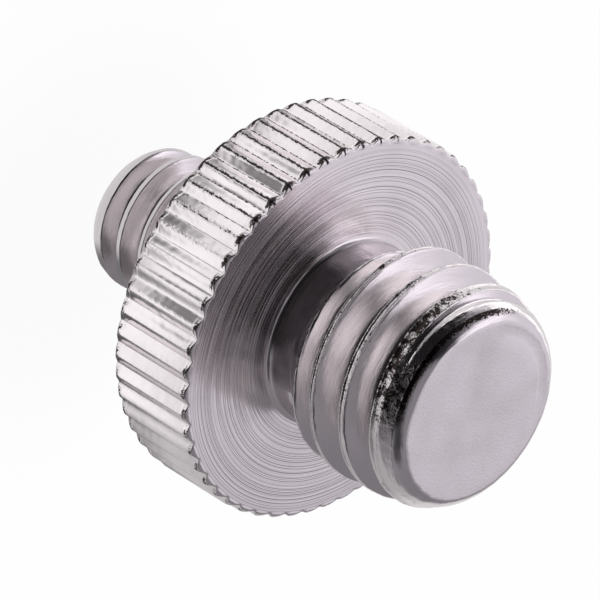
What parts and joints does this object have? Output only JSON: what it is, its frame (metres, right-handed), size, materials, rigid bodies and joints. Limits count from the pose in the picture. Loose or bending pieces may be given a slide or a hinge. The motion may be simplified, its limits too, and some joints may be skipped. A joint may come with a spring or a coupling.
{
  "type": "tripod thread adapter",
  "caption": "Turned metal thread adapter: a straight-knurled round flange between a coarse 3/8 inch threaded stud and a finer 1/4 inch threaded stud.",
  "frame": {"origin": "centre of the small stud's end face, on which the adapter stands", "axes": "+Z along the common thread axis, from the small stud towards the large stud; +X through the crest of a knurl tooth"},
  "size_m": [0.016, 0.016, 0.0194],
  "materials": {
    "plated_metal": "bright nickel plating over turned and knurled metal"
  },
  "bodies": {
    "root": {"thread_adapter": "plated_metal"}
  },
  "joints": []
}
